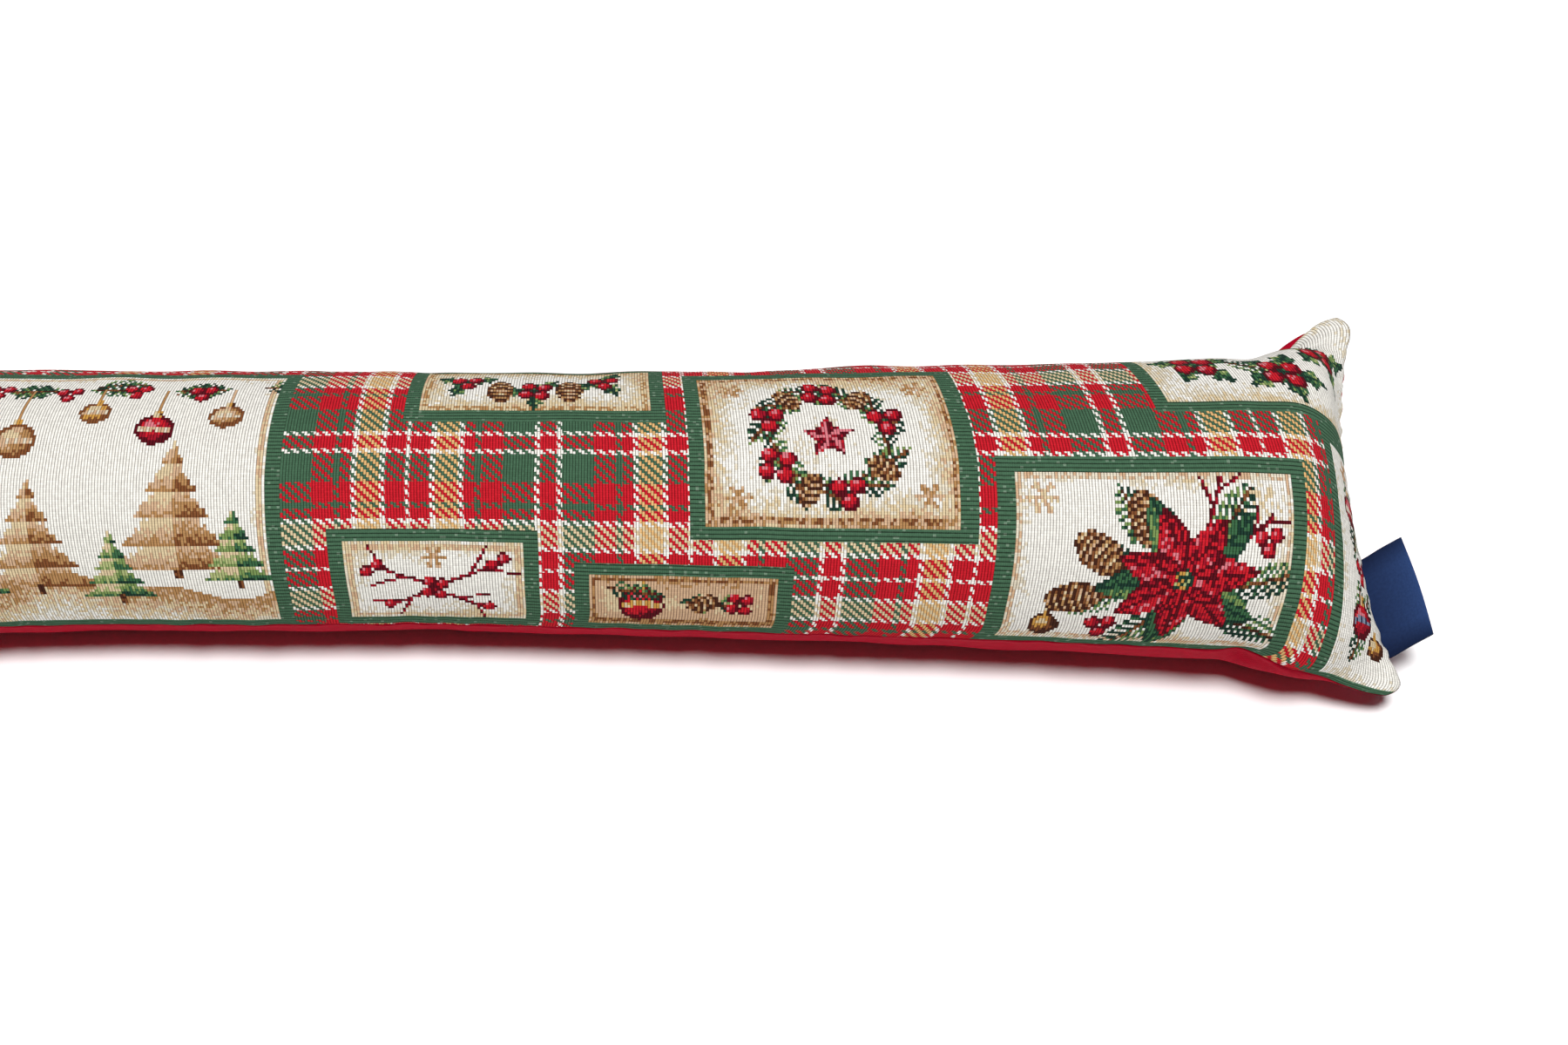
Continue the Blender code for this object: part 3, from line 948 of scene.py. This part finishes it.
tapestryLook = {
    "level": 0.84,  # yarn albedo against the colours above, which are those seen under the studio's light
    "ribPitch": weave["clothLength"] / fineColumns,  # fine upright ribs of the ground, about 1.3 mm
    "bandPitch": 1.9,  # level ribs of the green frames
    "twillPitch": 4.4,  # slanting mix where two unlike stripes cross
    "settHalf": 60.5,  # the check mirrors itself at this length
    "settAlong": 507.5,
    "settAcross": 98.5,
    "pickPitch": 1.1,  # short floats along each upright yarn
    "endPitch": 0.95,  # and along the level ones
    "valleyWidth": 0.62,  # share of a yarn's height that is in the gap's shade
    "valleyShade": 0.80,
    "frameShade": 1.0,
    "fineShade": 0.16,
    "unevenShade": 0.16,  # from stitch to stitch
    "darkest": 0.97,
    # the painted shade in the gaps between the yarns darkens them towards this brownish grey
    "gapShadeColour": "#655D59",
    "speckFrom": 0.95,  # light picks that show through the green frames
    "speckColour": "#6F8873",
    "roughness": 0.85,
    "specular": 0.06,
    "fineRelief": 0.35,  # height of the floats against that of the ribs
    "reliefDepth": 0.00035,
    "reliefStrength": 0.8,
}

sett = (  # the check, outward from its middle: yarn and width
    ("red", 3.3), ("white", 2.2), ("band", 13.0), ("red", 8.8), ("band", 2.8), ("red", 4.4),
    ("white", 2.2), ("apricot", 9.6), ("white", 2.2), ("red", 8.0), ("white", 1.1),
)


def setStripes(ramp, swaps):  # swaps: yarns that the other way of the weave has instead
    total = sum(width for name, width in sett)
    ramp.interpolation = "CONSTANT"
    place = 0.0
    for n, (name, width) in enumerate(sett):
        if n > 1:
            ramp.elements.new(place / total)
        ramp.elements[n].position = place / total
        colour = yarnColours[swaps.get(name, name)] * tapestryLook["level"]
        ramp.elements[n].color = (*colour, 1.0)
        place += width


def clothPlace(tree, length, width):  # where on the flat cloth, in mm: the vector, u and v
    uv = addNode(tree, "UVMap", uv_map="cloth")
    place = addNode(tree, "VectorMath", {0: uv, 1: (length, width, 0.0)}, operation="MULTIPLY")
    parts = addNode(tree, "SeparateXYZ", {0: place})
    return place, parts.outputs[0], parts.outputs[1]


def dressShader(tree, shader, look, colour, height):  # colour, sheen and relief
    relief = addNode(tree, "Bump", {
        "Height": height, "Distance": look["reliefDepth"], "Strength": look["reliefStrength"]})
    setInputs(tree, shader, {
        "Base Color": colour, "Roughness": look["roughness"],
        "Specular IOR Level": look["specular"], "Normal": relief})


def tapestryMaterial():  # woven jacquard, cotton and polyester: matt, ribbed, each yarn slightly rounded
    material, tree, shader = newMaterial("jacquardTapestry")
    look = tapestryLook
    _, u, v = clothPlace(tree, weave["clothLength"], weave["clothWidth"])
    values = {"u": u, "v": v}
    steps = [  # name, operation, and what it works on: a name above or a number
        ("column", "SNAP", "u", look["ribPitch"]),
        ("row", "SNAP", "v", look["pickPitch"]),
        ("across", "ADD", "column", "v"),
        ("turns", "DIVIDE", "across", look["twillPitch"]),
        ("slant", "FRACT", "turns"),
        ("overUnder", "GREATER_THAN", "slant", 0.5),
    ]
    for way, start in (("u", look["settAlong"]), ("v", look["settAcross"])):  # the check, both ways
        steps += [(way + "From", "SUBTRACT", way, start),
                  (way + "Fold", "PINGPONG", way + "From", look["settHalf"]),
                  (way + "Share", "DIVIDE", way + "Fold", look["settHalf"])]
    for name, way, pitch in (("upright", "u", "ribPitch"), ("level", "v", "bandPitch"),  # rounded yarns
                             ("pick", "v", "pickPitch"), ("end", "u", "endPitch")):
        steps += [(name + "Turn", "MULTIPLY", way, math.pi / look[pitch]),
                  (name + "Wave", "SINE", name + "Turn"),
                  (name, "ABSOLUTE", name + "Wave")]
    for name, operation, *inputs in steps:
        inputs = {n: values.get(entry, entry) for n, entry in enumerate(inputs)}
        values[name] = addNode(tree, "Math", inputs, operation=operation).outputs[0]

    stripes = []
    for share, swaps in (("uShare", {}), ("vShare", {"apricot": "cream"})):
        stripes.append(addNode(tree, "ValToRGB", {0: values[share]}))
        setStripes(stripes[-1].color_ramp, swaps)
    check = addNode(tree, "Mix", {0: values["overUnder"], 6: stripes[0], 7: stripes[1]}, data_type="RGBA")
    stitch = addNode(tree, "VertexColor", layer_name="stitch")
    kinds = addNode(tree, "VertexColor", layer_name="kind")
    inCheck, inFrame, _ = addNode(tree, "SeparateColor", {0: kinds}).outputs
    yarn = addNode(tree, "Mix", {0: inCheck, 6: stitch, 7: check.outputs[2]}, data_type="RGBA")
    rib = addNode(tree, "Mix", {0: inFrame, 2: values["upright"], 3: values["level"]})
    fine = addNode(tree, "Mix", {0: inFrame, 2: values["pick"], 3: values["end"]})
    cell = addNode(tree, "CombineXYZ", {0: values["column"], 1: values["row"]})
    uneven = addNode(tree, "TexWhiteNoise", {"Vector": cell}, noise_dimensions="2D")
    speck = addNode(tree, "Math", {0: uneven, 1: look["speckFrom"]}, operation="GREATER_THAN")
    speck = addNode(tree, "Math", {0: speck, 1: inFrame}, operation="MULTIPLY")
    flecked = addNode(tree, "Mix", {0: speck, 6: yarn.outputs[2], 7: hexColour(look["speckColour"])},
                      data_type="RGBA")
    # painted shade: the colour is darkened in the valleys between the rounded yarns and between their short
    # floats; the unevenness from stitch to stitch added to it is the yarns' own
    valley = addNode(tree, "MapRange", {0: rib, 1: 0.0, 2: look["valleyWidth"], 3: 1.0, 4: 0.0})
    valleyFine = addNode(tree, "MapRange", {0: fine, 1: 0.0, 2: 0.5, 3: 1.0, 4: 0.0})
    shade = addNode(tree, "Mix", {0: inFrame, 2: look["valleyShade"], 3: look["frameShade"]})
    shade = addNode(tree, "Math", {0: valley, 1: shade}, operation="MULTIPLY")
    for part, share in ((valleyFine, look["fineShade"]), (uneven, look["unevenShade"])):
        shade = addNode(tree, "Math", {0: part, 1: share, 2: shade}, operation="MULTIPLY_ADD")
    shade = addNode(tree, "Math", {0: shade, 1: look["darkest"]}, operation="MINIMUM")
    dark = addNode(tree, "Mix", {0: shade, 6: flecked.outputs[2], 7: hexColour(look["gapShadeColour"])},
                   data_type="RGBA", blend_type="MULTIPLY")
    height = addNode(tree, "Math", {0: fine, 1: look["fineRelief"], 2: rib}, operation="MULTIPLY_ADD")
    dressShader(tree, shader, look, dark.outputs[2], height)
    return material


plainLook = {
    "colour": "#A80A26",
    "cloudColour": "#84081D",
    "threads": (0.9, 0.72),  # pitches in mm, drawn coarser than they are
    "cloudScale": 0.35,  # soft uneven patches: how large, from and to which level, how strong
    "cloudFrom": 0.35,
    "cloudTo": 0.75,
    "cloudShare": 0.5,
    "roughness": 0.62,
    "specular": 0.02,
    "reliefDepth": 0.00012,
    "reliefStrength": 0.6,
}


def plainMaterial():  # red polyester satin: smooth and even, a soft sheen, a weave too fine to see
    material, tree, shader = newMaterial("redPolyesterSatin")
    look = plainLook
    place, *ways = clothPlace(tree, weave["clothLength"], weave["clothWidth"])
    threads = []
    for way, pitch in zip(ways, look["threads"]):
        turn = addNode(tree, "Math", {0: way, 1: math.pi / pitch}, operation="MULTIPLY")
        threads.append(addNode(tree, "Math", {0: turn}, operation="SINE"))
    cross = addNode(tree, "Math", {0: threads[0], 1: threads[1]}, operation="MULTIPLY")
    cloudy = addNode(tree, "TexNoise", {"Vector": place, "Scale": look["cloudScale"], "Detail": 3.0})
    cloudy = addNode(tree, "MapRange", {
        0: cloudy, 1: look["cloudFrom"], 2: look["cloudTo"], 3: 0.0, 4: look["cloudShare"]})
    colours = {6: hexColour(look["colour"]), 7: hexColour(look["cloudColour"])}
    mixed = addNode(tree, "Mix", {0: cloudy, **colours}, data_type="RGBA")
    dressShader(tree, shader, look, mixed.outputs[2], cross)
    return material


def paintStitches(panel):  # each face of the mesh is one stitch
    mesh = panel.data
    loopTotal = readValues(mesh.polygons, "loop_total", kind=np.int32)
    uv = readValues(mesh.uv_layers["cloth"].data, "uv", 2)
    first = np.concatenate([[0], np.cumsum(loopTotal)[:-1]])
    centre = np.add.reduceat(uv, first, axis=0) / loopTotal[:, None]
    i = np.clip((centre[:, 0] * fineColumns).astype(int), 0, fineColumns - 1)
    j = np.clip((centre[:, 1] * fineRows).astype(int), 0, fineRows - 1)
    colours = np.ones((len(i), 4), dtype=np.float32)
    colours[:, :3] = stitches[i, j] * tapestryLook["level"]
    kinds = np.zeros((len(i), 4), dtype=np.float32)
    kinds[:, 0], kinds[:, 1], kinds[:, 3] = isTartan[i, j], isBand[i, j], 1.0
    for name, values in (("stitch", colours), ("kind", kinds)):
        layer = mesh.color_attributes.new(name, "FLOAT_COLOR", "CORNER")
        layer.data.foreach_set("color", np.repeat(values, loopTotal, axis=0).ravel())


paintStitches(face)
face.data.materials.append(tapestryMaterial())
back.data.materials.append(plainMaterial())
for panel in (face, back):
    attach(panel, "root")
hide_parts("tapestry_face")
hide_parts("plain_back")
print("cover painted")


# Folded ribbon in the right end seam

ribbon = {
    "out": 0.0232,
    "inside": 0.003,
    "roundness": 0.8,
    "flatReach": 0.006,  # the seam's curve dies out over this length, and the fold is straight
    "stiff": 0.002,  # it leaves the seam square for this length
    "bendReach": 0.012,  # then bends to its own way over this one
    "layer": 0.0004,
    "bulge": 0.0011,  # half the gap between the two layers at the fold
    "rootBulge": 0.35,  # share of it where the ribbon leaves the seam
    "rise": 0.0020,
    "twist": 0.0036,
    "bow": 0.0013,  # the fold's edge curves outward
    "skew": 0.25,
    "steps": 48,
    "turns": 12,
    "cut": (0.0475, 0.058),  # along the fold, and from one cut end round the fold to the other
    "thread": 0.8,  # pitch in mm, drawn coarser than the real one
    "shadeColour": "#02061C",  # painted shade, where it goes into the seam and along its woven edges
    "colour": "#273D69",
    # soft streaks of painted sheen: the noise's scale, the range it is read over, and how dark to how bright
    "streakScale": 0.8,
    "streakFrom": 0.3,
    "streakTo": 0.7,
    "streakLight": (0.85, 1.1),
    # share of the light left by the painted shade at the edges
    "edgeLight": 0.30,
    "edgeReach": (10.0, 29.0),  # mm over which the painted shade fades out, from the woven edges and from the cut ends
    "roughness": 0.6,
    "specular": 0.03,
    "reliefDepth": 0.00004,
    "reliefStrength": 0.4,
}


def alongEnd(line, share):  # a value given for each row, read at a share of the right end
    run = np.linspace(0.0, 1.0, fineRows + 1)
    return np.array([np.interp(share, run, line[:, axis]) for axis in range(3)])


def endSeam(share):  # the finished seam line
    return alongEnd((facePoints[-1] + backPoints[-1]) / 2.0, share)


def ribbonFrame():  # along the seam, straight out of it, and off the cloth
    near, far = endSeam(cushion["labelStart"]), endSeam(cushion["labelEnd"])
    along = (far - near) / np.linalg.norm(far - near)
    straight = np.array((1.0, 0.0, 0.0)) - along[0] * along
    straight = straight / np.linalg.norm(straight) + ribbon["skew"] * along
    straight /= np.linalg.norm(straight)
    normal = np.cross(straight, along)
    return near, far, straight, normal / np.linalg.norm(normal)


def ribbonPoint(across, way):  # way runs from one cut end, round the fold at 0.5, to the other
    near, far, straight, normal = ribbonFrame()
    reach, side = 1.0 - abs(2.0 * way - 1.0), -1.0 if way < 0.5 else 1.0
    length = ribbon["out"] + ribbon["inside"]
    out = length * math.sin(reach * math.pi / 2.0) ** ribbon["roundness"] - ribbon["inside"]
    share = max(out / ribbon["out"], 0.0)
    place = cushion["labelStart"] + (cushion["labelEnd"] - cushion["labelStart"]) * across
    seam = endSeam(place)
    leaving = alongEnd(outward[-1], place)  # the way in which the seam lets it out
    flat = smoothShare(out / ribbon["flatReach"])
    root = seam + (near + (far - near) * across - seam) * flat
    out += ribbon["bow"] * share * math.sin(math.pi * across)
    gap = ribbon["rootBulge"] + (1.0 - ribbon["rootBulge"]) * share
    up = side * ribbon["bulge"] * gap * math.sqrt(max(1.0 - reach ** 8, 0.0))
    up += ribbon["rise"] * share ** 2 + ribbon["twist"] * share * (across - 0.5) ** 2
    bend = min(out, ribbon["stiff"]) * (1.0 - smoothShare((out - ribbon["stiff"]) / ribbon["bendReach"]))
    return root + straight * out + (leaving - straight) * bend + normal * up


def makeRibbon():
    label = newGrid("ribbonLabel", ribbon["steps"], ribbon["turns"] * 2)
    setPoints(label, [ribbonPoint((x + 1.0) / 2.0, (y + 1.0) / 2.0) for x, y, z in getPoints(label)])
    applyModifier(label, "SOLIDIFY", thickness=ribbon["layer"], offset=0.0)
    makeActive(label)
    bpy.ops.object.shade_smooth_by_angle(angle=math.radians(50.0))
    return label


def satinMaterial():  # navy woven satin ribbon: close floats, so soft streaks of painted sheen, and painted shade towards its woven edges and its cut ends
    material, tree, shader = newMaterial("navySatinRibbon")
    size = [1000.0 * side for side in ribbon["cut"]]
    place, *ways = clothPlace(tree, *size)
    turn = addNode(tree, "Math", {0: ways[1], 1: math.pi / ribbon["thread"]}, operation="MULTIPLY")
    wave = addNode(tree, "Math", {0: turn}, operation="SINE")
    # painted sheen: soft streaks, lighter and darker, from a noise
    light = addNode(tree, "TexNoise", {"Vector": place, "Scale": ribbon["streakScale"], "Detail": 2.0})
    low, high = ribbon["streakLight"]
    light = addNode(tree, "MapRange", {
        0: light, 1: ribbon["streakFrom"], 2: ribbon["streakTo"], 3: low, 4: high})
    # painted shade: darker towards the woven edges and towards the cut ends, where the ribbon goes into the
    # seam
    for way, length, reach in zip(ways, size, ribbon["edgeReach"]):
        edge = addNode(tree, "Math", {0: way, 1: length / 2.0}, operation="PINGPONG")
        share = addNode(tree, "MapRange", {0: edge, 1: 0.0, 2: reach, 3: ribbon["edgeLight"], 4: 1.0})
        light = addNode(tree, "Math", {0: light, 1: share}, operation="MULTIPLY")
    colours = {6: hexColour(ribbon["shadeColour"]), 7: hexColour(ribbon["colour"])}
    mixed = addNode(tree, "Mix", {0: light, **colours}, data_type="RGBA")
    dressShader(tree, shader, ribbon, mixed.outputs[2], wave)
    return material


label = makeRibbon()
label.data.materials.append(satinMaterial())
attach(label, "root")
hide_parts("label")
print("ribbon folded into the seam")


# Floor, light and camera

studio = {
    "floorSize": 40.0,
    "floorGap": 0.0002,  # keeps the floor from flickering through the flat base
    "floorColour": "#F4F4F4",
    "floorRoughness": 0.9,
    "floorSpecular": 0.2,
    "skyStrength": 0.03,
    "horizonStrength": 1.3,  # a bright band low down, so that the sheet meets a white backdrop
    "horizonRise": (0.01, 0.05),  # the band fades out between these heights
    "lights": (  # name, height and side in degrees, apparent width in degrees, strength
        ("key", 71.0, 6.0, 17.0, 3.72),
        ("rear", 62.0, 165.0, 40.0, 0.8),
    ),
}

camera = {
    "lookAt": (0.171, -0.0099, 0.05),
    "elevation": 47.0,
    "side": 3.0,  # degrees to the right of straight ahead
    "tilt": -1.71,
    "distance": 1.05,
    "lens": 52.0,
}


def wayTo(rise, side):  # the direction at these angles, in radians, side to the right of straight ahead
    return Vector((math.sin(side) * math.cos(rise), -math.cos(side) * math.cos(rise), math.sin(rise)))


def makeFloor():
    deselectAll()
    bpy.ops.mesh.primitive_plane_add(size=studio["floorSize"], location=(0.0, 0.0, -studio["floorGap"]))
    floor = bpy.context.active_object
    floor.name = "floor"
    material, tree, shader = newMaterial("paperFloor")  # matt white background paper
    setInputs(tree, shader, {
        "Base Color": hexColour(studio["floorColour"]), "Roughness": studio["floorRoughness"],
        "Specular IOR Level": studio["floorSpecular"]})
    floor.data.materials.append(material)


def makeLight(name, rise, side, width, strength):  # a softbox, far enough to light the whole floor evenly
    data = bpy.data.lights.new(name, "SUN")
    data.angle = math.radians(width)
    data.energy = strength
    light = bpy.data.objects.new(name, data)
    away = wayTo(math.radians(rise), math.radians(side))
    light.rotation_euler = (-away).to_track_quat("-Z", "Y").to_euler()
    light.location = away * 2.0
    bpy.context.scene.collection.objects.link(light)


def makeWorld():
    world = bpy.data.worlds.new("studio")
    world.use_nodes = True
    tree = world.node_tree
    place = addNode(tree, "TexCoord")
    parts = addNode(tree, "SeparateXYZ", {0: place.outputs["Generated"]})
    low, high = studio["horizonRise"]
    level = addNode(tree, "MapRange", {
        0: parts.outputs[2], 1: low, 2: high, 3: studio["horizonStrength"], 4: studio["skyStrength"]})
    setInputs(tree, tree.nodes["Background"], {"Color": (1.0, 1.0, 1.0, 1.0), "Strength": level})
    bpy.context.scene.world = world


def makeCamera():
    data = bpy.data.cameras.new("camera")
    data.lens = camera["lens"]
    data.sensor_width = 36.0
    item = bpy.data.objects.new("camera", data)
    rise, side, tilt = (math.radians(camera[key]) for key in ("elevation", "side", "tilt"))
    away = wayTo(rise, side)
    right = Vector((math.cos(side), math.sin(side), 0.0))
    upward = away.cross(right)
    turnedRight = right * math.cos(tilt) + upward * math.sin(tilt)
    turnedUp = upward * math.cos(tilt) - right * math.sin(tilt)
    turn = Matrix((turnedRight, turnedUp, away)).transposed().to_4x4()
    item.matrix_world = Matrix.Translation(Vector(camera["lookAt"]) + away * camera["distance"]) @ turn
    bpy.context.scene.collection.objects.link(item)
    bpy.context.scene.camera = item


makeFloor()
for light in studio["lights"]:
    makeLight(*light)
makeCamera()
makeWorld()
bpy.context.scene.view_settings.view_transform = "Standard"
print("studio set")
